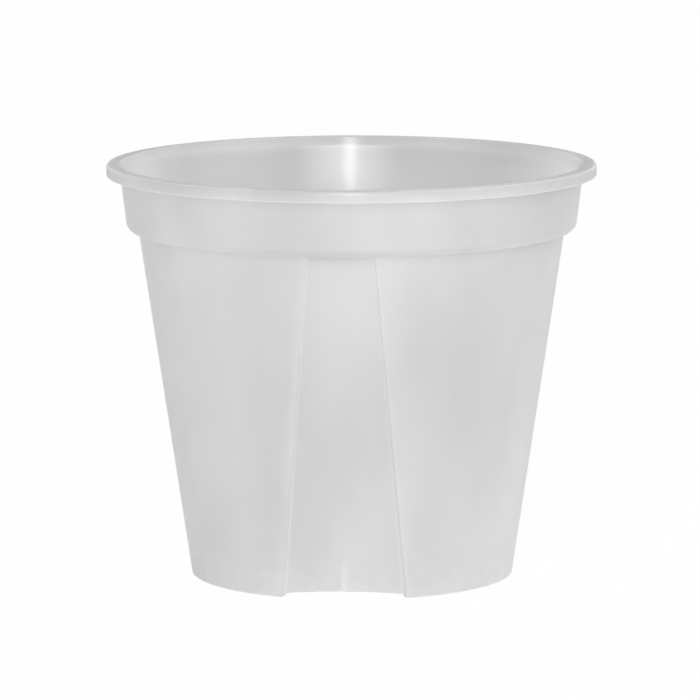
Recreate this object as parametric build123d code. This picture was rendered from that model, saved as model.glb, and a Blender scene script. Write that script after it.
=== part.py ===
from build123d import *
import os
from math import atan2, cos, hypot, radians, sin, sqrt, tan

# Orchid pot of milky see-through plastic, one thin moulding on the real object. Its solids are the regions
# into which it divides at its own edges. They meet face to face, and each has the full wall thickness.
# Millimetres, Z up. The origin is on the pot's axis, on the surface that it stands on. One panel faces -Y.

# Overall sizes
rim_diameter = 120.0
pot_height = 101.5
foot_diameter = 79.0
wall = 0.8

# Lip: a flat top, turned down at its outside
lip_height = 2.9
lip_overhang = 3.4
lip_thickness = 0.9
lip_top_rounding = 0.8

# Mouth: the inside flares out just below the top
mouth_flare_width = 0.7
mouth_flare_depth = 2.1

# Collar below the lip, and the shoulder that steps in below it
collar_height = 13.6
collar_lean = 1.65
shoulder_width = 2.75
shoulder_flat = 0.3

# Recessed flat panels, spaced evenly round the body. Their returns lean out by the draft, in degrees.
panel_count = 3
panel_top_width = 16.0
panel_foot_width = 29.1
panel_top_step = 0.8
panel_foot_step = 2.0
panel_corner_rounding = 0.4
panel_draft = 15.0

# Floor: a shallow dome that springs from the foot
floor_thickness = 1.0
floor_rise = 3.6
floor_edge_height = 0.4

# Slots through the floor: one behind each panel, which runs on up the panel's inside as a groove and leaves
# a thin skin there, and plain ones between them
panel_slot_width = 2.0
panel_slot_height = 8.5
panel_slot_skin = 0.35
panel_slot_floor_length = 20.5
floor_slots_between = 3
floor_slot_width = 2.2
floor_slot_inner_radius = 14.0
floor_slot_outer_radius = 32.0

# Mark of the moulding gate, a shallow dimple under the middle of the floor
gate_diameter = 6.0
gate_depth = 0.3

# How far the base region stands above the floor's peak, how much of the round wall beside it goes with a
# panel, and how near a point on a line has to be
dish_margin = 0.5
panel_margin = 1.6
same_place = 0.001

# Roundings of the wall's free edges
wall_edge_rounding = 0.45 * wall
lip_edge_rounding = 0.375 * wall
foot_rounding = 0.3 * wall

# Levels and radii that follow from these
rim_radius = rim_diameter / 2
foot_radius = foot_diameter / 2
lip_bottom = pot_height - lip_height
lip_underside = pot_height - lip_thickness
flare_level = pot_height - mouth_flare_depth
shoulder_level = lip_bottom - collar_height
ledge_level = shoulder_level + wall
collar_level = shoulder_level + shoulder_width
collar_top_radius = rim_radius - lip_overhang
collar_bottom_radius = collar_top_radius - collar_lean
body_top_radius = collar_bottom_radius - shoulder_width
shoulder_rounding = shoulder_width - shoulder_flat
floor_peak = floor_edge_height + floor_rise
dish_level = floor_peak + floor_thickness + dish_margin
panel_spacing = 360 / panel_count
return_spread = tan(radians(panel_draft))
inner_return_offset = wall * (1 - sin(radians(panel_draft))) / cos(radians(panel_draft))
past_end = wall


def along(foot_size, top_size, level, span):
    """A size at a height, which runs evenly from its foot value to its top value over a span."""
    return foot_size + (top_size - foot_size) * level / span


def body_radius(level):
    return along(foot_radius, body_top_radius, level, shoulder_level)


def collar_radius(level):
    return along(collar_bottom_radius, collar_top_radius, level - shoulder_level, collar_height)


def panel_half_width(level):
    return along(panel_foot_width, panel_top_width, level, shoulder_level) / 2


def edge_distance(radius, width, step):
    """How far from the axis, the way a panel faces, the edges of the round wall beside it lie."""
    return sqrt(radius**2 - (width / 2 + step * return_spread) ** 2)


def panel_distance(level):
    """How far from the axis the outer face of a panel lies."""
    foot_distance = edge_distance(foot_radius, panel_foot_width, panel_foot_step) - panel_foot_step
    top_distance = edge_distance(body_top_radius, panel_top_width, panel_top_step) - panel_top_step
    return along(foot_distance, top_distance, level, shoulder_level)


def spun(points, roundings):
    """A solid of revolution from its outline, radius by height, with some of its corners rounded."""
    outline = make_face(Polyline(*points, close=True))
    for corner, rounding in roundings:
        outline = fillet(outline.vertices().sort_by_distance(corner)[0], rounding)
    return revolve(Plane.XZ * outline, Axis.Z)


def block(bottom, top):
    """A solid of six flat faces from the corners of its bottom and those of its top, in the same order."""
    sides = [[bottom[i - 1], bottom[i], top[i], top[i - 1]] for i in range(len(bottom))]
    return Solid(Shell([Face(Wire.make_polygon(corners)) for corners in (bottom, top, *sides)]))


def panel_space(top, sideways=0.0, inward=0.0, spread=return_spread):
    """The space in front of the panel that faces -Y, widened to its sides and deepened towards the axis."""
    rings = []
    for level in (-past_end, top):
        side = panel_half_width(level) + sideways
        back = inward - panel_distance(level)
        front_side = side + (rim_radius + back) * spread
        corners = [(-side, back), (side, back), (front_side, -rim_radius), (-front_side, -rim_radius)]
        rings.append([(x, y, level) for x, y in corners])
    return block(*rings)


def round_back(space, rounding):
    """Rounds the two upright edges at the back of a panel's space."""
    upright = space.edges().filter_by(lambda edge: edge.bounding_box().size.Z > wall)
    return fillet(upright.sort_by(Axis.Y)[-2:], rounding)


def around(shape):
    """A copy of a shape at each panel."""
    return [Rot(0, 0, i * panel_spacing) * shape for i in range(panel_count)]


def beside_panel(edge):
    """True for an edge where the round wall turns in to a panel."""
    turned = [Rot(0, 0, -i * panel_spacing) * Pos(*(edge @ 0.5)) for i in range(panel_count)]
    return any(
        y < 0
        and abs(abs(x) - panel_half_width(z) + (y + panel_distance(z)) * return_spread) < same_place
        and abs(hypot(x, y) - body_radius(z)) < same_place
        for x, y, z in (place.position for place in turned)
    )


def long_hole(width, inner_radius, outer_radius):
    """A round-ended slot through the floor, along a radius towards -Y."""
    place = Pos(0, -(inner_radius + outer_radius) / 2) * Rot(0, 0, 90)
    return extrude(place * SlotOverall(outer_radius - inner_radius, width), dish_level)


def layer(low, high):
    """A slab that holds everything between two heights."""
    return Pos(0, 0, (low + high) / 2) * Box(2 * rim_diameter, 2 * rim_diameter, high - low)


# Outside of the pot, as a full body with its panels sunk in
outside = spun(
    [
        (0, 0),
        (foot_radius, 0),
        (body_top_radius, shoulder_level),
        (collar_bottom_radius, shoulder_level),
        (collar_radius(lip_underside), lip_underside),
        (rim_radius - wall, lip_underside),
        (rim_radius - wall, lip_bottom),
        (rim_radius, lip_bottom),
        (rim_radius, pot_height),
        (0, pot_height),
    ],
    [
        ((collar_bottom_radius, shoulder_level), shoulder_rounding),
        ((rim_radius - wall, lip_bottom), lip_edge_rounding),
        ((rim_radius, lip_bottom), lip_edge_rounding),
        ((rim_radius, pot_height), lip_top_rounding),
    ],
)
outside -= around(round_back(panel_space(shoulder_level), panel_corner_rounding))
outside = fillet(outside.edges().filter_by(beside_panel), wall_edge_rounding)
outside = fillet(outside.edges().group_by(Axis.Z)[0], foot_rounding)

# Floor, between two balls about one centre. The lower ball also ends the panels above the ground.
floor_reach = foot_radius - wall
ball_radius = (floor_reach**2 + floor_rise**2) / (2 * floor_rise)
ball_centre = Pos(0, 0, floor_peak - ball_radius)
under_floor = ball_centre * Sphere(ball_radius)
over_floor = ball_centre * Sphere(ball_radius + floor_thickness)
toe_space = panel_space(dish_level, -panel_corner_rounding, wall, spread=0.0)
outside -= [space & under_floor for space in around(toe_space)]

# Inside of the pot, from the ground to the mouth
mouth_radius = collar_radius(pot_height) - wall + mouth_flare_width
inside = spun(
    [
        (0, -past_end),
        (body_radius(-past_end) - wall, -past_end),
        (body_radius(ledge_level) - wall, ledge_level),
        (collar_radius(ledge_level) - wall, ledge_level),
        (collar_radius(flare_level) - wall, flare_level),
        (mouth_radius, pot_height),
        (mouth_radius, pot_height + past_end),
        (0, pot_height + past_end),
    ],
    [((collar_radius(ledge_level) - wall, ledge_level), shoulder_rounding - wall)],
)
inner_space = panel_space(ledge_level, inner_return_offset, wall)
inside -= around(round_back(inner_space, panel_corner_rounding + wall))
pot = outside - (inside - over_floor) - (inside & under_floor)

# Slot behind each panel, and its groove, which follows the lean of the panel
panel_lean = atan2(panel_distance(shoulder_level) - panel_distance(0), shoulder_level)
panel_plane = Plane((0, -panel_distance(0), 0), (-1, 0, 0), (0, cos(panel_lean), sin(panel_lean)))
slot_straight = panel_slot_height - panel_slot_width / 2
slot_face = Pos(0, -past_end) * Rectangle(
    panel_slot_width, slot_straight + past_end, align=(Align.CENTER, Align.MIN)
)
slot_face += Pos(0, slot_straight) * Circle(panel_slot_width / 2)
panel_slot = extrude(panel_plane.offset(panel_slot_skin) * slot_face, 2 * wall)
panel_slot += long_hole(
    panel_slot_width, panel_distance(0) - panel_slot_floor_length, panel_distance(0) - wall
)
pot -= around(panel_slot)

# Plain slots, spread evenly between those
floor_slot = long_hole(floor_slot_width, floor_slot_inner_radius, floor_slot_outer_radius)
for i in range(floor_slots_between):
    turn = panel_spacing * (i + 1) / (floor_slots_between + 1)
    pot -= around(Rot(0, 0, turn) * floor_slot)

# Gate mark
pot -= Pos(0, 0, floor_peak) * Cylinder(gate_diameter / 2, 2 * gate_depth)

# Regions. The panels take their returns with them, and the round walls lie between.
panel_regions = around(panel_space(shoulder_level + past_end, panel_margin, panel_margin))
body = pot & layer(dish_level, shoulder_level)
lobes = (body - panel_regions).solids()
regions = {
    "base_dish": pot & layer(-past_end, dish_level),
    "shoulder_ledge": pot & layer(shoulder_level, collar_level),
    "collar_band": pot & layer(collar_level, lip_bottom),
    "rim_lip": pot & layer(lip_bottom, pot_height + past_end),
}
for i, space in enumerate(panel_regions):
    middle = Rot(0, 0, panel_spacing / 2 + i * panel_spacing) * Pos(0, -body_top_radius, shoulder_level)
    regions[f"slot_panel_{i + 1}"] = body & space
    regions[f"wall_lobe_{i + 1}"] = lobes.sort_by_distance(middle.position)[0]

os.makedirs("parts", exist_ok=True)
for name, region in regions.items():
    export_step(region, f"parts/{name}.step")
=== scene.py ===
from math import acos, atan, atan2, cos, pi, radians, sin, sqrt, tan

import bmesh
import bpy
import numpy as np
from mathutils import Matrix, Vector


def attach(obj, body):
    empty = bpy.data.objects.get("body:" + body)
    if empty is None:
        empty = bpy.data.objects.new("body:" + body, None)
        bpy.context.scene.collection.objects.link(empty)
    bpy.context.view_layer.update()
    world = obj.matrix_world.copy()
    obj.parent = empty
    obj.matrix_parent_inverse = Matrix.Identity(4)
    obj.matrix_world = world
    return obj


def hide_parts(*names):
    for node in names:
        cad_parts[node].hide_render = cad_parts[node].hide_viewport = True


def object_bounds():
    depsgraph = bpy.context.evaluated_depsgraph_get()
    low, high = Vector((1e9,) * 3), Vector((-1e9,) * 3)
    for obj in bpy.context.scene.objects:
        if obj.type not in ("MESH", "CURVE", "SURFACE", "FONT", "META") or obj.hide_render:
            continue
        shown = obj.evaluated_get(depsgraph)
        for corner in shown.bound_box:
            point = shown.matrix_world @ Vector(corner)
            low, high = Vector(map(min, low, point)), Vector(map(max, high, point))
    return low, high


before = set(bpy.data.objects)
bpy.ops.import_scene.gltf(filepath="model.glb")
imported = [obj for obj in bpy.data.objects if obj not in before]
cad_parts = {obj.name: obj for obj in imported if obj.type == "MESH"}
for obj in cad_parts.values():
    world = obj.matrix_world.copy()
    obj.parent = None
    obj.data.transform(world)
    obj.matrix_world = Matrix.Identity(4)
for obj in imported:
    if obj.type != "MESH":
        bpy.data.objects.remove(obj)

cad_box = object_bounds()

# Overall size, read from the solids, in millimetres to the nearest tenth
MM = 0.001
RIM_RADIUS = round(cad_box[1][0] / MM, 1)
POT_HEIGHT = round(cad_box[1][2] / MM, 1)

# Other sizes of the pot in millimetres, the same as those of its solids
FOOT_RADIUS = 39.5
WALL = 0.8
LIP_HEIGHT = 2.9
LIP_OVERHANG = 3.4
LIP_THICKNESS = 0.9
LIP_TOP_ROUNDING = 0.8
LIP_EDGE_ROUNDING = 0.3
MOUTH_FLARE_WIDTH = 0.7
MOUTH_FLARE_DEPTH = 2.1
COLLAR_HEIGHT = 13.6
COLLAR_LEAN = 1.65
SHOULDER_WIDTH = 2.75
SHOULDER_ROUNDING = 2.45
PANEL_COUNT = 3
PANEL_TOP_WIDTH = 16.0
PANEL_FOOT_WIDTH = 29.1
PANEL_TOP_STEP = 0.8
PANEL_FOOT_STEP = 2.0
PANEL_DRAFT = radians(15.0)
FOOT_ROUNDING = 0.24
FLOOR_THICKNESS = 1.0
FLOOR_RISE = 3.6
FLOOR_EDGE_HEIGHT = 0.4
PANEL_SLOT_WIDTH = 2.0
PANEL_SLOT_HEIGHT = 8.5
PANEL_SLOT_SKIN = 0.35
PANEL_SLOT_FLOOR_LENGTH = 20.5
FLOOR_SLOTS_BETWEEN = 3
FLOOR_SLOT_WIDTH = 2.2
FLOOR_SLOT_INNER_RADIUS = 14.0
FLOOR_SLOT_OUTER_RADIUS = 32.0
GATE_RADIUS = 3.0
GATE_DEPTH = 0.3

# Other roundings of the visible model. Those beside the panels grow towards the foot.
EDGE_TOP_ROUNDING = 0.36
EDGE_FOOT_ROUNDING = 0.5
CORNER_TOP_ROUNDING = 0.4
CORNER_FOOT_ROUNDING = 0.5
TOE_ROUNDING = 0.4
MOUTH_EDGE_ROUNDING = 0.2
FLARE_ROUNDING = 0.8
CORNER_FILL = 0.25
LEDGE_EDGE_ROUNDING = 0.3
FLOOR_CORNER_FILL = 0.9

# Levels, radii and angles that follow from the sizes
LIP_BOTTOM = POT_HEIGHT - LIP_HEIGHT
LIP_UNDERSIDE = POT_HEIGHT - LIP_THICKNESS
FLARE_LEVEL = POT_HEIGHT - MOUTH_FLARE_DEPTH
SHOULDER_LEVEL = LIP_BOTTOM - COLLAR_HEIGHT
LEDGE_LEVEL = SHOULDER_LEVEL + WALL
COLLAR_TOP_RADIUS = RIM_RADIUS - LIP_OVERHANG
COLLAR_BOTTOM_RADIUS = COLLAR_TOP_RADIUS - COLLAR_LEAN
BODY_TOP_RADIUS = COLLAR_BOTTOM_RADIUS - SHOULDER_WIDTH
FLOOR_PEAK = FLOOR_EDGE_HEIGHT + FLOOR_RISE
FLOOR_REACH = FOOT_RADIUS - WALL
BALL_RADIUS = (FLOOR_REACH**2 + FLOOR_RISE**2) / (2 * FLOOR_RISE)
BALL_CENTRE = FLOOR_PEAK - BALL_RADIUS
GATE_LEVEL = FLOOR_PEAK + GATE_DEPTH
PANEL_SPACING = 2 * pi / PANEL_COUNT
RETURN_TURN = pi / 2 - PANEL_DRAFT
CORNER_SPREAD = tan(RETURN_TURN / 2)

# Zones of the body's section, from the middle of a panel: its flat, its corner, its return, the edge of the
# round wall and that wall, with the columns of the mesh in each, which gather towards the panel's edges
FLAT, CORNER, RETURN, EDGE, LOBE = range(5)
ZONE_COLUMNS = {FLAT: 12, CORNER: 5, RETURN: 3, EDGE: 6, LOBE: 26}
COLUMN_GATHERING = 1.5

# How finely the mesh is divided the other way, the share of the floor on which its rings are round, and the
# rings in the gate mark and the space left round it
ARC_STEPS = 8
HOLE_END_STEPS = 10
LONGEST_STEP = 1.2
WALL_RINGS = 26
FLOOR_RINGS = 26
ROUND_FLOOR_SHARE = 0.45
GATE_RING_SHARES = (0.35, 0.97)
GATE_CLEARANCE = 1.2

# Rounds in which the floor's edge and the panels' toes find the level where they meet the walls
FLOOR_MEETING_ROUNDS = 6
TOE_MEETING_ROUNDS = 4

# Lengths too short to count, and the angle from which an edge is shown sharp
SAME_PLACE = 1e-6
SHORTEST_EDGE = 0.0005
SHARP_ANGLE = radians(38.0)

# Bends, in radians each millimetre, from which and to which a painted highlight lightens the plastic, and how
# much of that painted highlight the outer edges beside the panels have
GENTLE_BEND = 0.5
SHARP_BEND = 1.1
EDGE_HIGHLIGHT_SHARE = 0.3

# Painted shade, on the inner skin and the lip: heights between which it sets in, how much of it the body, the
# mouth and the lip's face have, and the depths below the top between which it changes to that of the mouth
SHADE_START = 5.0
SHADE_END = 45.0
BODY_SHADE = 0.75
MOUTH_SHADE = 0.5
LIP_FACE_SHADE = 0.18
MOUTH_SHADE_START_DEPTH = 3.6
MOUTH_SHADE_END_DEPTH = 1.8

# How much of the inner skin's smoothness the lip's face has
LIP_FACE_SMOOTHNESS = 0.5


def along(foot_size, top_size, level):
    """A size of the body at a height, which runs evenly from its foot value to its top value."""
    return foot_size + (top_size - foot_size) * level / SHOULDER_LEVEL


def body_radius(level):
    return along(FOOT_RADIUS, BODY_TOP_RADIUS, level)


def collar_radius(level):
    return COLLAR_BOTTOM_RADIUS + COLLAR_LEAN * (level - SHOULDER_LEVEL) / COLLAR_HEIGHT


def panel_half_width(level):
    return along(PANEL_FOOT_WIDTH, PANEL_TOP_WIDTH, level) / 2


def edge_distance(radius, width, step):
    """How far from the axis, the way a panel faces, the edges of the round wall beside it lie."""
    return sqrt(radius**2 - (width / 2 + step * tan(PANEL_DRAFT)) ** 2)


def panel_distance(level):
    """How far from the axis the outer face of a panel lies."""
    foot_distance = edge_distance(FOOT_RADIUS, PANEL_FOOT_WIDTH, PANEL_FOOT_STEP) - PANEL_FOOT_STEP
    top_distance = edge_distance(BODY_TOP_RADIUS, PANEL_TOP_WIDTH, PANEL_TOP_STEP) - PANEL_TOP_STEP
    return along(foot_distance, top_distance, level)


def edge_rounding(level):
    return along(EDGE_FOOT_ROUNDING, EDGE_TOP_ROUNDING, level)


def corner_rounding(level):
    return along(CORNER_FOOT_ROUNDING, CORNER_TOP_ROUNDING, level)


def on_return(level, depth, way):
    """A place on a panel's return, or at a depth below it, some way out from the corner."""
    across = panel_half_width(level) + depth * cos(PANEL_DRAFT) + way * sin(PANEL_DRAFT)
    outward = panel_distance(level) - depth * sin(PANEL_DRAFT) + way * cos(PANEL_DRAFT)
    return across, outward


def way_to_radius(level, depth, radius):
    """How far along a panel's return, or at a depth below it, a radius from the axis is reached."""
    across, outward = on_return(level, depth, 0.0)
    middle = across * sin(PANEL_DRAFT) + outward * cos(PANEL_DRAFT)
    return np.sqrt(middle**2 - across**2 - outward**2 + radius**2) - middle


def floor_under(radius):
    return BALL_CENTRE + np.sqrt(BALL_RADIUS**2 - radius**2)


def floor_over(radius):
    return BALL_CENTRE + np.sqrt((BALL_RADIUS + FLOOR_THICKNESS) ** 2 - radius**2)


def all_columns():
    """Zone, share of that zone, side and panel of every column of the mesh, in order round the pot."""
    half = [(FLAT, 0.0)]
    for zone, count in ZONE_COLUMNS.items():
        shares = [(i + 1) / count for i in range(count)]
        if zone == FLAT:
            shares = [1 - (1 - share) ** COLUMN_GATHERING for share in shares]
        elif zone == LOBE:
            shares = [share**COLUMN_GATHERING for share in shares]
        half += [(zone, share) for share in shares]
    columns = []
    for panel in range(PANEL_COUNT):
        columns += [(zone, share, -1, panel) for zone, share in reversed(half[1:])]
        columns += [(zone, share, 1, panel) for zone, share in half[:-1]]
    return [np.array(values) for values in zip(*columns)]


ZONE, SHARE, SIDE, PANEL = all_columns()
COUNT = len(ZONE)
ON_FLAT = ZONE == FLAT
ON_LOBE = ZONE == LOBE


def placed(across, outward, level):
    """Points of a ring from how far they lie beside and in front of the panel that they belong to."""
    turn = PANEL * PANEL_SPACING
    x, y = SIDE * across, -outward
    level = np.broadcast_to(level, (COUNT,))
    return np.stack([x * np.cos(turn) - y * np.sin(turn), x * np.sin(turn) + y * np.cos(turn), level], 1)


def reach(points):
    """How far points lie from the pot's axis."""
    return np.hypot(points[:, 0], points[:, 1])


def outer_section(level, inset=0.0):
    """A ring on the outside of the body at a height, set in square to the wall."""
    level = np.broadcast_to(np.asarray(level, float), (COUNT,))
    front, radius = panel_distance(level), body_radius(level)
    edge, corner = edge_rounding(level), corner_rounding(level)
    corner_span = corner * CORNER_SPREAD
    flat_end = panel_half_width(level) - corner_span
    edge_way = way_to_radius(level, edge, radius - edge)
    edge_across, edge_outward = on_return(level, edge, edge_way)
    corner_turn = SHARE * RETURN_TURN
    return_across, return_outward = on_return(level, 0.0, corner_span + SHARE * (edge_way - corner_span))
    edge_turn = pi - PANEL_DRAFT + SHARE * (np.arctan2(edge_outward, edge_across) - pi + PANEL_DRAFT)
    lobe_start = np.arctan2(edge_across, edge_outward)
    lobe_turn = lobe_start + SHARE * (PANEL_SPACING / 2 - lobe_start)

    # Across and outward, and how far the wall faces either way, in each zone
    zone_places = {
        FLAT: (SHARE * flat_end, front, 0.0, 1.0),
        CORNER: (
            flat_end + corner * np.sin(corner_turn),
            front + corner * (1 - np.cos(corner_turn)),
            -np.sin(corner_turn),
            np.cos(corner_turn),
        ),
        RETURN: (return_across, return_outward, -cos(PANEL_DRAFT), sin(PANEL_DRAFT)),
        EDGE: (
            edge_across + edge * np.cos(edge_turn),
            edge_outward + edge * np.sin(edge_turn),
            np.cos(edge_turn),
            np.sin(edge_turn),
        ),
        LOBE: (radius * np.sin(lobe_turn), radius * np.cos(lobe_turn), np.sin(lobe_turn), np.cos(lobe_turn)),
    }
    in_zone = [ZONE == zone for zone in zone_places]
    across, outward, faces_across, faces_outward = (
        np.select(in_zone, values) for values in zip(*zone_places.values())
    )
    return placed(across - inset * faces_across, outward - inset * faces_outward, level)


def part_between(zones):
    """How far each column lies through a run of neighbouring zones, from 0 to 1."""
    counts = [ZONE_COLUMNS[zone] for zone in zones]
    part = np.zeros(COUNT)
    for i, zone in enumerate(zones):
        part = np.where(ZONE == zone, (sum(counts[:i]) + SHARE * counts[i]) / sum(counts), part)
    return part


def inner_section(level, depth=WALL):
    """A ring on the inside of the body at a height, at a depth below its outside."""
    level = np.broadcast_to(np.asarray(level, float), (COUNT,))
    half, front, radius = panel_half_width(level), panel_distance(level), body_radius(level) - depth
    corner = corner_rounding(level)
    corner_span = corner * CORNER_SPREAD
    bend = corner + depth
    bend_across, bend_outward = half - corner_span, front + corner
    bend_reach, lean = np.hypot(bend_across, bend_outward), np.arctan2(bend_across, bend_outward)
    meets_wall = (bend_reach**2 + bend**2 - radius**2) / (2 * bend * bend_reach)
    bend_end = np.clip(np.arccos(np.clip(meets_wall, -1, 1)) - lean, 0.0, RETURN_TURN)
    straight = np.where(bend_end < RETURN_TURN, 0.0, way_to_radius(level, depth, radius) - corner_span)

    def round_corner(way):
        """A place some way round the corner and out along the return."""
        turn = np.minimum(way / bend, bend_end)
        rest = np.maximum(way - bend * bend_end, 0.0)
        across = bend_across + bend * np.sin(turn) + rest * sin(PANEL_DRAFT)
        return across, bend_outward - bend * np.cos(turn) + rest * cos(PANEL_DRAFT)

    whole_way = bend * bend_end + straight
    corner_across, corner_outward = round_corner(part_between((CORNER, RETURN, EDGE)) * whole_way)
    start = np.arctan2(*round_corner(whole_way))
    turn = start + SHARE * (PANEL_SPACING / 2 - start)
    across = np.select([ON_FLAT, ON_LOBE], [SHARE * bend_across, radius * np.sin(turn)], corner_across)
    outward = np.select([ON_FLAT, ON_LOBE], [front - depth, radius * np.cos(turn)], corner_outward)
    return placed(across, outward, level)


def column_angles():
    """The angle of each column from the middle of its panel, on the round parts of the pot."""
    edge = PANEL_TOP_WIDTH / 2 + PANEL_TOP_STEP * tan(PANEL_DRAFT) + EDGE_TOP_ROUNDING
    flat_end = atan2(PANEL_TOP_WIDTH / 2 - CORNER_TOP_ROUNDING * CORNER_SPREAD, BODY_TOP_RADIUS)
    lobe_start = atan2(edge, BODY_TOP_RADIUS)
    middle = flat_end + part_between((CORNER, RETURN, EDGE)) * (lobe_start - flat_end)
    lobe = lobe_start + SHARE * (PANEL_SPACING / 2 - lobe_start)
    return np.select([ON_FLAT, ON_LOBE], [SHARE * flat_end, lobe], middle)


ANGLE = column_angles()


def circle(radius, level):
    return placed(radius * np.sin(ANGLE), radius * np.cos(ANGLE), level)


def unit(vector):
    return vector / np.linalg.norm(vector)


def corner_arc(corner, to_last, to_next, rounding):
    """Points of the arc that rounds a corner, from the directions of its two sides."""
    half_angle = acos(np.clip(to_last @ to_next, -1, 1)) / 2
    middle = corner + unit(to_last + to_next) * rounding / sin(half_angle)
    first = corner + to_last * rounding / tan(half_angle) - middle
    last = corner + to_next * rounding / tan(half_angle) - middle
    sweep = acos(np.clip(first @ last / rounding**2, -1, 1))
    shares = [k / ARC_STEPS for k in range(ARC_STEPS + 1)]
    arms = [first * sin((1 - share) * sweep) + last * sin(share * sweep) for share in shares]
    return [middle + arm / sin(sweep) for arm in arms]


def divided(points):
    """The points of a line, with more between those that lie far apart."""
    line = [points[0]]
    for last, following in zip(points, points[1:]):
        steps = max(1, int(np.ceil(np.linalg.norm(following - last) / LONGEST_STEP)))
        line += [last + (following - last) * (k + 1) / steps for k in range(steps)]
    return line


def rounded(corners):
    """Points along an outline with rounded corners, from (radius, level, rounding) of each corner."""
    places = [np.array(corner[:2]) for corner in corners]
    points = [places[0]]
    for last, place, following, corner in zip(places, places[1:], places[2:], corners[1:]):
        points += corner_arc(place, unit(last - place), unit(following - place), corner[2])
    return divided([*points, places[-1]])


def bent(start, corner, end):
    """Rings between two rings, curved towards a third."""
    shares = [k / ARC_STEPS for k in range(1, ARC_STEPS)]
    return [(1 - s) ** 2 * start + 2 * s * (1 - s) * corner + s**2 * end for s in shares]


def wall_rings(section, start, end):
    """Rings of the body's outer or inner section from one level to another."""
    return [section(start + (end - start) * k / WALL_RINGS) for k in range(WALL_RINGS + 1)]


def floor_rings(edge, height_of, gate):
    """Rings of the floor from near its middle to its edge ring, on a curve of height over radius."""
    mean = reach(edge).mean()
    shares = [(k + 1) / FLOOR_RINGS for k in range(FLOOR_RINGS)]
    rings = []
    if gate:
        rings += [circle(share * GATE_RADIUS, GATE_LEVEL) for share in GATE_RING_SHARES]
        rings.append(circle(GATE_RADIUS, height_of(GATE_RADIUS)))
        shares = [share for share in shares if share * mean > GATE_CLEARANCE * GATE_RADIUS]
    for share in shares:
        weight = np.clip((share - ROUND_FLOOR_SHARE) / (1 - ROUND_FLOOR_SHARE), 0, 1)
        weight = weight * weight * (3 - 2 * weight)
        ring = (1 - weight) * circle(share * mean, 0) + weight * share * edge
        ring[:, 2] = height_of(reach(ring))
        rings.append(ring)
    return rings


def inner_rings():
    """Rings from the middle of the floor's top, up the inside of the body, to the edge of the ledge."""
    meet = np.full(COUNT, FLOOR_EDGE_HEIGHT)
    for _ in range(FLOOR_MEETING_ROUNDS):
        meet = floor_over(reach(inner_section(meet)))
    floor_edge = inner_section(meet, WALL + FLOOR_CORNER_FILL)
    floor_edge[:, 2] = floor_over(reach(floor_edge))
    wall_foot = meet + FLOOR_CORNER_FILL
    rings = floor_rings(floor_edge, floor_over, gate=False)
    rings += bent(floor_edge, inner_section(meet), inner_section(wall_foot))
    rings += wall_rings(inner_section, wall_foot, LEDGE_LEVEL - LEDGE_EDGE_ROUNDING)
    ledge_edge = inner_section(LEDGE_LEVEL, WALL - LEDGE_EDGE_ROUNDING)
    rings += bent(rings[-1], inner_section(LEDGE_LEVEL), ledge_edge)
    return [*rings, ledge_edge]


def round_rings():
    """Rings of the parts that are round all the way, from the ledge over the lip to the shoulder."""
    mouth_radius = collar_radius(POT_HEIGHT) - WALL + MOUTH_FLARE_WIDTH
    ledge_radius = BODY_TOP_RADIUS + CORNER_FILL
    outline = rounded(
        [
            (ledge_radius, LEDGE_LEVEL),
            (collar_radius(LEDGE_LEVEL) - WALL, LEDGE_LEVEL, SHOULDER_ROUNDING - WALL - CORNER_FILL),
            (collar_radius(FLARE_LEVEL) - WALL, FLARE_LEVEL, FLARE_ROUNDING),
            (mouth_radius, POT_HEIGHT, MOUTH_EDGE_ROUNDING),
            (RIM_RADIUS, POT_HEIGHT, LIP_TOP_ROUNDING),
            (RIM_RADIUS, LIP_BOTTOM, LIP_EDGE_ROUNDING),
            (RIM_RADIUS - WALL, LIP_BOTTOM, LIP_EDGE_ROUNDING),
            (RIM_RADIUS - WALL, LIP_UNDERSIDE, CORNER_FILL),
            (collar_radius(LIP_UNDERSIDE), LIP_UNDERSIDE, CORNER_FILL),
            (COLLAR_BOTTOM_RADIUS, SHOULDER_LEVEL, SHOULDER_ROUNDING),
            (ledge_radius, SHOULDER_LEVEL),
        ]
    )
    return [circle(radius, level) for radius, level in outline]


def outer_rings(shoulder, toe):
    """Rings from the shoulder down the outside of the body to the foot and, on the panels, to their toe."""
    wall_top = SHOULDER_LEVEL - CORNER_FILL
    low = np.where(ON_FLAT, toe[:, 2], 0.0)
    rounding = np.where(ON_FLAT, TOE_ROUNDING, FOOT_ROUNDING)
    rings = bent(shoulder, outer_section(SHOULDER_LEVEL), outer_section(wall_top))
    rings += wall_rings(outer_section, wall_top, low + rounding)
    for k in range(ARC_STEPS):
        turn = (k + 1) / ARC_STEPS * pi / 2
        rings.append(outer_section(low + rounding * (1 - sin(turn)), rounding * (1 - cos(turn))))
    return rings


def underside_rings(toe):
    """Rings from the inner edge of the foot to the middle of the underside."""
    rise = floor_under(reach(toe))
    foot_edge = np.where(ON_FLAT[:, None], outer_section(rise, (TOE_ROUNDING + WALL) / 2), inner_section(0.0))
    foot_edge[:, 2] = np.where(ON_FLAT, floor_under(reach(foot_edge)), 0.0)
    floor_edge = inner_section(np.where(ON_FLAT, rise, FLOOR_EDGE_HEIGHT))
    floor_edge[:, 2] = floor_under(reach(floor_edge))
    return [foot_edge, *reversed(floor_rings(floor_edge, floor_under, gate=True))]


def pot_rings():
    """All rings of the pot's surface, from the middle of the floor's top over the lip to its underside."""
    toe = outer_section(0.0)
    for _ in range(TOE_MEETING_ROUNDS):
        toe = outer_section(floor_under(reach(toe)))
    rings = inner_rings() + round_rings()
    return rings + outer_rings(rings[-1], toe) + underside_rings(toe)


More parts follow.
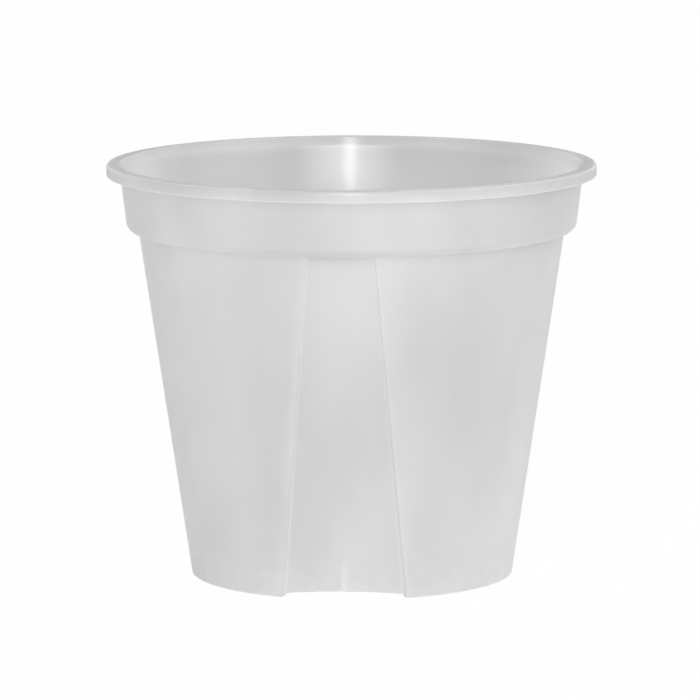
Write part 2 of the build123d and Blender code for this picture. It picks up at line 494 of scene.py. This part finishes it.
def bend_between(before, points, after):
    """How sharply the way through points bends, from 0 where it is gentle to 1."""
    near, far = points - before, after - points
    near_length, far_length = np.linalg.norm(near, axis=2), np.linalg.norm(far, axis=2)
    straight = (near * far).sum(2) / np.maximum(near_length * far_length, SAME_PLACE)
    bend = 2 * np.arccos(np.clip(straight, -1, 1)) / np.maximum(near_length + far_length, SAME_PLACE)
    return np.clip((bend - GENTLE_BEND) / (SHARP_BEND - GENTLE_BEND), 0, 1)


def sharp_bends(rings):
    """Share of painted highlight at each point of the rings, from how sharply the surface below the lip bends
    there, round or up the pot.
    """
    points = np.stack(rings)
    sharp = bend_between(np.roll(points, 1, 1), points, np.roll(points, -1, 1))
    sharp = np.where(ON_FLAT | (ZONE == CORNER), sharp, EDGE_HIGHLIGHT_SHARE * sharp)
    sharp[1:-1] = np.maximum(sharp[1:-1], bend_between(points[:-2], points[1:-1], points[2:]))
    return np.where(points[:, :, 2] > LIP_BOTTOM + LIP_EDGE_ROUNDING, 0.0, sharp)


def skin_values(points, rings):
    """Values of the plastic at each point: how smooth it is, its share of painted shade, and its share of
    painted highlight from its bend.
    """
    level, outward = points[:, 2], reach(points)
    inner_count = len(rings) - np.argmax([reach(ring).max() for ring in reversed(rings)])
    inside = np.append(np.arange(len(rings) * COUNT) < inner_count * COUNT, (1.0, 0.0))
    # Painted shade: none outside, growing up the inside to the collar, full on the lip's top, less at the
    # mouth and little on the lip's face
    shade = inside * np.clip((level - SHADE_START) / (SHADE_END - SHADE_START), 0, 1)
    shade *= np.where(level < LEDGE_LEVEL, BODY_SHADE, 1.0)
    mouth_levels = (POT_HEIGHT - MOUTH_SHADE_START_DEPTH, POT_HEIGHT - MOUTH_SHADE_END_DEPTH)
    mouth = np.interp(level, mouth_levels, (1.0, MOUTH_SHADE))
    shade *= np.where(outward < collar_radius(POT_HEIGHT), mouth, 1.0)
    shade *= np.where(outward > RIM_RADIUS - LIP_TOP_ROUNDING / 2, LIP_FACE_SHADE, 1.0)
    lip_face = outward > RIM_RADIUS - LIP_TOP_ROUNDING + SAME_PLACE
    smooth = inside * np.where(lip_face, LIP_FACE_SMOOTHNESS, 1.0)
    bend = np.append(sharp_bends(rings).ravel(), (0.0, 0.0)) * (1 - inside)
    return {"smooth_skin": smooth, "painted_shade": shade, "bend_highlight": bend}


def mesh_from(name, rings, top, bottom):
    """A closed mesh through rings of points, with a point to close each end, and the values of its skin."""
    points = np.concatenate([*rings, [top], [bottom]])
    index = np.arange(COUNT)
    after = np.roll(index, -1)
    faces = []
    for k in range(len(rings) - 1):
        near, far = k * COUNT, (k + 1) * COUNT
        faces += np.stack([near + index, far + index, far + after, near + after], 1).tolist()
    first_point, last_ring = len(points) - 2, (len(rings) - 1) * COUNT
    faces += [(first_point, int(i), int(j)) for i, j in zip(index, after)]
    faces += [(first_point + 1, last_ring + int(j), last_ring + int(i)) for i, j in zip(index, after)]
    mesh = bpy.data.meshes.new(name)
    mesh.from_pydata(points.tolist(), [], faces)
    mesh.validate()
    for value_name, values in skin_values(points, rings).items():
        attribute = mesh.attributes.new(value_name, "FLOAT", "POINT")
        attribute.data.foreach_set("value", values.astype(np.float32))
    return mesh


def new_object(name, data):
    made = bpy.data.objects.new(name, data)
    bpy.context.scene.collection.objects.link(made)
    return made


def prism(outline, near, far):
    """Points and faces of a closed prism, from a flat outline and from where either end puts its points."""
    count = len(outline)
    points = [near(*point) for point in outline] + [far(*point) for point in outline]
    sides = [(i, (i + 1) % count, count + (i + 1) % count, count + i) for i in range(count)]
    return points, [tuple(reversed(range(count))), tuple(range(count, 2 * count)), *sides]


def half_round(radius, start):
    """Points of half a circle, from the angle at which it starts."""
    turns = [start + pi * k / HOLE_END_STEPS for k in range(HOLE_END_STEPS + 1)]
    return [(radius * cos(turn), radius * sin(turn)) for turn in turns]


def cutters(name, shapes):
    """One object of several closed shapes, each turned about the axis by its own angle."""
    points, faces = [], []
    for (shape_points, shape_faces), turn in shapes:
        spin = Matrix.Rotation(turn, 3, "Z")
        faces += [[len(points) + i for i in face] for face in shape_faces]
        points += [tuple(spin @ Vector(point)) for point in shape_points]
    mesh = bpy.data.meshes.new(name)
    mesh.from_pydata(points, [], faces)
    mesh.validate()
    return new_object(name, mesh)


def long_hole(width, inner_radius, outer_radius):
    """A round-ended slot through the floor, along a radius towards -Y."""
    radius = width / 2
    outline = [(x, y - inner_radius - radius) for x, y in half_round(radius, 0)]
    outline += [(x, y - outer_radius + radius) for x, y in half_round(radius, pi)]
    top = FLOOR_PEAK + FLOOR_THICKNESS + WALL
    return prism(outline, lambda x, y: (x, y, -WALL), lambda x, y: (x, y, top))


def on_panel(across, up, depth):
    """A place on the outer face of the panel that faces -Y, or at a depth below it."""
    lean = atan2(panel_distance(SHOULDER_LEVEL) - panel_distance(0), SHOULDER_LEVEL)
    return across, depth * cos(lean) - up * sin(lean) - panel_distance(0), up * cos(lean) + depth * sin(lean)


def panel_groove():
    """The groove up the inside of the panel that faces -Y."""
    radius = PANEL_SLOT_WIDTH / 2
    straight = PANEL_SLOT_HEIGHT - radius
    outline = [(x, straight + up) for x, up in half_round(radius, 0)] + [(-radius, -WALL), (radius, -WALL)]
    back = PANEL_SLOT_SKIN + 2 * WALL
    return prism(outline, lambda x, up: on_panel(x, up, back), lambda x, up: on_panel(x, up, PANEL_SLOT_SKIN))


def cut_slots(pot):
    """Cuts the slots of the panels and the floor, and puts the result in the pot's mesh."""
    turns = [i * PANEL_SPACING for i in range(PANEL_COUNT)]
    front = panel_distance(0)
    panel_hole = long_hole(PANEL_SLOT_WIDTH, front - PANEL_SLOT_FLOOR_LENGTH, front - WALL)
    plain_hole = long_hole(FLOOR_SLOT_WIDTH, FLOOR_SLOT_INNER_RADIUS, FLOOR_SLOT_OUTER_RADIUS)
    steps = [PANEL_SPACING * (i + 1) / (FLOOR_SLOTS_BETWEEN + 1) for i in range(FLOOR_SLOTS_BETWEEN)]
    holes = [(panel_hole, turn) for turn in turns]
    holes += [(plain_hole, turn + step) for turn in turns for step in steps]
    grooves = [(panel_groove(), turn) for turn in turns]
    tools = [cutters("floor_cutters", holes), cutters("panel_cutters", grooves)]
    for tool in tools:
        cut = pot.modifiers.new(tool.name, "BOOLEAN")
        cut.operation = "DIFFERENCE"
        cut.solver = "EXACT"
        cut.object = tool
    graph = bpy.context.evaluated_depsgraph_get()
    pot.data = bpy.data.meshes.new_from_object(pot.evaluated_get(graph))
    pot.modifiers.clear()
    for tool in tools:
        bpy.data.objects.remove(tool)


def drop_empty_faces(mesh):
    """Takes out faces and edges that the cuts left without a size."""
    whole = bmesh.new()
    whole.from_mesh(mesh)
    bmesh.ops.dissolve_degenerate(whole, dist=SHORTEST_EDGE, edges=whole.edges)
    whole.to_mesh(mesh)
    whole.free()


def pot_object(name):
    """The whole pot, one closed shell, in metres."""
    pot = new_object(name, mesh_from(name, pot_rings(), (0, 0, floor_over(0)), (0, 0, GATE_LEVEL)))
    cut_slots(pot)
    drop_empty_faces(pot.data)
    pot.data.name = name
    pot.data.transform(Matrix.Scale(MM, 4))
    pot.data.shade_smooth()
    pot.data.set_sharp_from_angle(angle=SHARP_ANGLE)
    return pot


def grey(tone):
    return (tone, tone, tone, 1)


def direction(azimuth, elevation):
    """The way out from the pot at an azimuth, from -Y towards +X, and an elevation, both in degrees."""
    turn, lift = radians(azimuth), radians(elevation)
    return Vector((sin(turn) * cos(lift), -cos(turn) * cos(lift), sin(lift)))


# Tones of the milky plastic: in its pale and dull clouds, its painted highlight where it bends sharply, and
# its painted glow where its skin is thin
PALE_TONE = grey(0.92)
DULL_TONE = grey(0.85)
BEND_HIGHLIGHT_TONE = grey(0.95)
THIN_GLOW_TONE = grey(0.96)

# Painted shades that multiply these tones: that of the inner skin, and that of the outer skin at a slant
INNER_SHADE = grey(0.69)
SLANT_SHADE = grey(0.88)

# Slants, from 0 straight on to 1 edge on, between which the outer skin's painted shade darkens, the inner
# skin's painted shade clears and the light that the outer skin lets through falls from its full share to that
# at grazing
DARKENING_START = 0.35
DARKENING_END = 0.9
CLEARING_START = 0.1
CLEARING_END = 0.8
GRAZING_START = 0.3
GRAZING_END = 0.95
LET_THROUGH = 0.75
GRAZING_THROUGH = 0.2

# How far the surface faces up or down where it stops being steep, and where it counts as level
STEEP_END = 0.42
LEVEL_START = 0.8

# Shine, how matt the outer and the inner skin are, and how much this varies from cloud to cloud
SHINE_IOR = 2.2
SATIN_ROUGHNESS = 0.34
SMOOTH_ROUGHNESS = 0.14
ROUGHNESS_CHANGE = 0.08

# Fineness of the clouds, of the speckles near the foot and of the grain, the clouds' upright stretch, and the
# values of the pattern that are wholly dull and wholly pale
CLOUD_SCALE = 45.0
SPECKLE_SCALE = 320.0
GRAIN_SCALE = 2200.0
CLOUD_STRETCH = (1.0, 1.0, 0.5)
DULL_CLOUD = 0.2
PALE_CLOUD = 0.8

# Height that the speckles reach and their share at the foot, strength and depth of the grain, and how far the
# painted glow over a groove's thin skin reaches to its sides and up. Lengths are in millimetres.
SPECKLE_TOP = 14.0
SPECKLE_STRENGTH = 0.7
GRAIN_STRENGTH = 0.1
GRAIN_DEPTH = 0.1
THIN_HALF_WIDTH = 1.4
THIN_FULL_LEVEL = 6.0
THIN_TOP_LEVEL = 11.0


def add(tree, kind, inputs=None, **settings):
    """A new node with its settings, and what each of its inputs is linked or set to."""
    node = tree.nodes.new("ShaderNode" + kind)
    for name, value in settings.items():
        setattr(node, name, value)
    for name, value in (inputs or {}).items():
        if isinstance(value, bpy.types.NodeSocket):
            tree.links.new(value, node.inputs[name])
        else:
            node.inputs[name].default_value = value
    return node


def ramp(tree, value, start, end, first=0.0, last=1.0, curve="SMOOTHSTEP"):
    """A number that runs from its first to its last value while another runs from start to end."""
    inputs = {"Value": value, "From Min": start, "From Max": end, "To Min": first, "To Max": last}
    return add(tree, "MapRange", inputs, interpolation_type=curve).outputs["Result"]


def product(tree, value, factor):
    return add(tree, "Math", {0: value, 1: factor}, operation="MULTIPLY").outputs[0]


def total(tree, value, other):
    return add(tree, "Math", {0: value, 1: other}, operation="ADD").outputs[0]


def between(tree, share, first, last):
    """A number some share of the way from one to another."""
    return add(tree, "Mix", {0: share, 2: first, 3: last}).outputs[0]


def tinted(tree, share, tone, other, blend="MIX"):
    """A tone that is blended with another by some share."""
    return add(tree, "Mix", {0: share, 6: tone, 7: other}, data_type="RGBA", blend_type=blend).outputs[2]


def noise(tree, place, scale):
    return add(tree, "TexNoise", {"Vector": place, "Scale": scale}).outputs["Fac"]


def skin_value(tree, name):
    return add(tree, "Attribute", attribute_name=name).outputs["Fac"]


def new_material(name):
    material = bpy.data.materials.new(name)
    material.use_nodes = True
    material.node_tree.nodes.clear()
    return material, material.node_tree


def thin_skin_glow(tree, place):
    """How near a place is to the middle of the thin skin over a panel's groove, from 0 to 1: the share of
    painted glow there.
    """
    parts = add(tree, "SeparateXYZ", {0: place}).outputs
    front = product(tree, parts["Y"], -1.0)
    turn = add(tree, "Math", {0: parts["X"], 1: front}, operation="ARCTAN2").outputs[0]
    turn = add(tree, "Math", {0: turn, 1: PANEL_SPACING / 2}, operation="PINGPONG").outputs[0]
    beside = ramp(tree, turn, 0.0, THIN_HALF_WIDTH / FOOT_RADIUS, 1.0, 0.0)
    low = ramp(tree, parts["Z"], THIN_FULL_LEVEL * MM, THIN_TOP_LEVEL * MM, 1.0, 0.0)
    return product(tree, beside, low)


def clouded_tone(tree, place, cloud):
    """The plastic's tone from its clouds and, near the foot, from its speckles too."""
    height = add(tree, "SeparateXYZ", {0: place}).outputs["Z"]
    low = ramp(tree, height, 0.0, SPECKLE_TOP * MM, SPECKLE_STRENGTH, 0.0, "LINEAR")
    pattern = between(tree, low, cloud, noise(tree, place, SPECKLE_SCALE))
    return tinted(tree, ramp(tree, pattern, DULL_CLOUD, PALE_CLOUD), DULL_TONE, PALE_TONE)


def steepness(tree):
    """1 on a steep wall, 0 where the surface is level."""
    upward = add(tree, "SeparateXYZ", {0: add(tree, "NewGeometry").outputs["Normal"]}).outputs["Z"]
    upward = add(tree, "Math", {0: upward}, operation="ABSOLUTE").outputs[0]
    return ramp(tree, upward, STEEP_END, LEVEL_START, 1.0, 0.0)


def shaded_tone(tree, tone, slant, smooth):
    """A tone with painted shade: that of the outer skin at a slant, and that of the inner skin, which a slant
    clears.
    """
    steep = steepness(tree)
    # Painted shade: the outer skin of steep walls darkens towards its outline, and the inner skin's painted
    # shade lifts where it is seen edge on
    dark = product(tree, ramp(tree, slant, DARKENING_START, DARKENING_END), steep)
    tone = tinted(tree, between(tree, smooth, dark, 0.0), tone, SLANT_SHADE, "MULTIPLY")
    clear = between(tree, steep, 1.0, ramp(tree, slant, CLEARING_START, CLEARING_END, 1.0, 0.0))
    return tinted(tree, product(tree, skin_value(tree, "painted_shade"), clear), tone, INNER_SHADE, "MULTIPLY")


def milky_plastic(name):
    material, tree = new_material(name)
    place = add(tree, "TexCoord").outputs["Object"]
    flow = add(tree, "Mapping", {"Vector": place, "Scale": CLOUD_STRETCH}).outputs["Vector"]
    cloud = noise(tree, flow, CLOUD_SCALE)
    smooth = skin_value(tree, "smooth_skin")
    slant = add(tree, "LayerWeight").outputs["Facing"]
    tone = clouded_tone(tree, place, cloud)
    # Painted highlight: a lighter tone where the surface below the lip bends sharply
    tone = tinted(tree, skin_value(tree, "bend_highlight"), tone, BEND_HIGHLIGHT_TONE)
    # Painted glow: a lighter tone over the thin skin of each panel's groove, standing in for light coming
    # through it
    tone = tinted(tree, thin_skin_glow(tree, place), tone, THIN_GLOW_TONE)
    tone = shaded_tone(tree, tone, slant, smooth)
    rough = between(tree, smooth, SATIN_ROUGHNESS, SMOOTH_ROUGHNESS)
    rough = total(tree, rough, between(tree, cloud, -ROUGHNESS_CHANGE / 2, ROUGHNESS_CHANGE / 2))
    grain = noise(tree, place, GRAIN_SCALE)
    bump = {"Height": grain, "Strength": GRAIN_STRENGTH, "Distance": GRAIN_DEPTH * MM}
    bump = add(tree, "Bump", bump).outputs["Normal"]
    body = {"Base Color": tone, "Roughness": rough, "IOR": SHINE_IOR, "Normal": bump}
    body = add(tree, "BsdfPrincipled", body).outputs["BSDF"]
    glow = add(tree, "BsdfTranslucent", {"Color": tone, "Normal": bump}).outputs["BSDF"]
    through = ramp(tree, slant, GRAZING_START, GRAZING_END, LET_THROUGH, GRAZING_THROUGH)
    through = between(tree, smooth, through, LET_THROUGH)
    mixed = add(tree, "MixShader", {0: through, 1: body, 2: glow}).outputs["Shader"]
    add(tree, "OutputMaterial", {"Surface": mixed})
    return material


pot = pot_object("pot_moulding")
pot.data.materials.clear()
pot.data.materials.append(milky_plastic("milky_plastic"))
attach(pot, "root")
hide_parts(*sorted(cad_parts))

# Floor: white to the eye, with a faint shadow, and clear from below. It is brighter through the plastic, and
# white in reflections from where it lies in front of the pot. Lengths are in metres from here on.
FLOOR_HALF = 9.0
FLOOR_COLOUR = grey(0.9)
WHITE = grey(1.0)
FLOOR_SEEN_WHITE = 0.965
FLOOR_THROUGH_WHITE = 0.47
FLOOR_FRONT_AZIMUTH = 8.0
FLOOR_FRONT_EDGE = 0.8
FLOOR_FRONT_START = 0.08
FLOOR_FRONT_FULL = 0.3


def along_direction(tree, way, azimuth, elevation):
    """How far a way points in a direction, from -1 to 1."""
    inputs = {0: way, 1: direction(azimuth, elevation)}
    return add(tree, "VectorMath", inputs, operation="DOT_PRODUCT").outputs["Value"]


def front_of_pot(tree):
    """1 on the floor some way in front of the pot, and 0 beside, behind and close to it."""
    place = add(tree, "TexCoord").outputs["Object"]
    way = add(tree, "VectorMath", {0: place}, operation="NORMALIZE").outputs["Vector"]
    away = add(tree, "VectorMath", {0: place}, operation="LENGTH").outputs["Value"]
    front = ramp(tree, along_direction(tree, way, FLOOR_FRONT_AZIMUTH, 0.0), FLOOR_FRONT_EDGE, 1.0)
    return product(tree, front, ramp(tree, away, FLOOR_FRONT_START, FLOOR_FRONT_FULL))


def white_floor(name):
    material, tree = new_material(name)
    material.cycles.emission_sampling = "NONE"
    path = add(tree, "LightPath").outputs
    matt = add(tree, "BsdfDiffuse", {"Color": FLOOR_COLOUR}).outputs["BSDF"]
    front = product(tree, front_of_pot(tree), path["Is Glossy Ray"])
    through = product(tree, path["Is Transmission Ray"], FLOOR_THROUGH_WHITE)
    glow = {"Color": WHITE, "Strength": total(tree, through, front)}
    glow = add(tree, "Emission", glow).outputs["Emission"]
    lit = add(tree, "AddShader", {0: matt, 1: glow}).outputs["Shader"]
    white = add(tree, "Emission", {"Color": WHITE, "Strength": 1.0}).outputs["Emission"]
    seen = product(tree, path["Is Camera Ray"], FLOOR_SEEN_WHITE)
    top = add(tree, "MixShader", {0: seen, 1: lit, 2: white}).outputs["Shader"]
    clear = add(tree, "BsdfTransparent").outputs["BSDF"]
    below = add(tree, "NewGeometry").outputs["Backfacing"]
    mixed = add(tree, "MixShader", {0: below, 1: top, 2: clear}).outputs["Shader"]
    add(tree, "OutputMaterial", {"Surface": mixed})
    return material


floor_mesh = bpy.data.meshes.new("floor")
corners = [(x * FLOOR_HALF, y * FLOOR_HALF, 0) for x, y in ((-1, -1), (1, -1), (1, 1), (-1, 1))]
floor_mesh.from_pydata(corners, [], [(0, 1, 2, 3)])
floor = new_object("floor", floor_mesh)
floor.data.materials.append(white_floor("floor"))

# Soft light from all round in shares of white, and what its brighter sides add: azimuth and elevation in
# degrees, the strength, and where the brightness begins, from 0 at a right angle to 1 straight that way
DOME_LIGHT = 0.4
WIDE_EDGE = 0.5
NARROW_EDGE = 0.9
DOME_SIDES = [
    (180.0, 20.0, 0.58, WIDE_EDGE),
    (-135.0, 20.0, 0.33, WIDE_EDGE),
    (135.0, 20.0, 0.37, WIDE_EDGE),
    (90.0, 20.0, 0.42, WIDE_EDGE),
    (5.0, 14.5, 5.3, NARROW_EDGE),
]


def studio_dome(name):
    world = bpy.data.worlds.new(name)
    world.use_nodes = True
    tree = world.node_tree
    tree.nodes.clear()
    way = add(tree, "TexCoord").outputs["Generated"]
    light = DOME_LIGHT
    for azimuth, elevation, strength, edge in DOME_SIDES:
        facing = along_direction(tree, way, azimuth, elevation)
        light = total(tree, light, ramp(tree, facing, edge, 1.0, 0.0, strength))
    path = add(tree, "LightPath").outputs
    dome = add(tree, "Background", {"Color": WHITE, "Strength": light}).outputs["Background"]
    backdrop = add(tree, "Background", {"Color": WHITE, "Strength": 1.0}).outputs["Background"]
    mixed = add(tree, "MixShader", {0: path["Is Camera Ray"], 1: dome, 2: backdrop}).outputs["Shader"]
    add(tree, "OutputWorld", {"Surface": mixed})
    return world


bpy.context.scene.world = studio_dome("studio")

# Tall narrow lamp beside the camera, whose reflection runs down the inside. Angles are in degrees.
STRIP_AIM = Vector((0, 0, 0.05))
STRIP_AZIMUTH = 3.8
STRIP_ELEVATION = 24.0
STRIP_DISTANCE = 1.6
STRIP_WIDTH = 0.16
STRIP_HEIGHT = 1.5
STRIP_POWER = 7.1


def strip_lamp(name):
    data = bpy.data.lights.new(name, "AREA")
    data.shape = "RECTANGLE"
    data.size, data.size_y = STRIP_WIDTH, STRIP_HEIGHT
    data.energy = STRIP_POWER
    lamp = new_object(name, data)
    away = direction(STRIP_AZIMUTH, STRIP_ELEVATION)
    lamp.location = STRIP_AIM + away * STRIP_DISTANCE
    lamp.rotation_euler = away.to_track_quat("Z", "Y").to_euler()


strip_lamp("front_strip")

# Camera, from places measured in the photograph, in metres, degrees and pixels of the photograph
IMAGE_SIZE = 700
CAMERA_DISTANCE = 1.4007
CAMERA_HEIGHT = 0.26414
CAMERA_AZIMUTH = 3.05
CAMERA_PITCH = 8.493
CAMERA_ROLL = -0.1
FOCAL_PIXELS = 5754.7
CENTRE_SHIFT_PIXELS = 1.82


def photo_camera(name):
    data = bpy.data.cameras.new(name)
    data.lens = data.sensor_width * FOCAL_PIXELS / IMAGE_SIZE
    camera = new_object(name, data)
    camera.location = direction(CAMERA_AZIMUTH, 0.0) * CAMERA_DISTANCE + Vector((0, 0, CAMERA_HEIGHT))
    swing = radians(CAMERA_AZIMUTH) + atan(CENTRE_SHIFT_PIXELS / FOCAL_PIXELS)
    look = Matrix.Rotation(swing, 4, "Z") @ Matrix.Rotation(pi / 2 - radians(CAMERA_PITCH), 4, "X")
    look = look @ Matrix.Rotation(radians(CAMERA_ROLL), 4, "Z")
    camera.rotation_euler = look.to_euler()
    return camera


bpy.context.scene.camera = photo_camera("camera")
bpy.context.scene.view_settings.view_transform = "Standard"
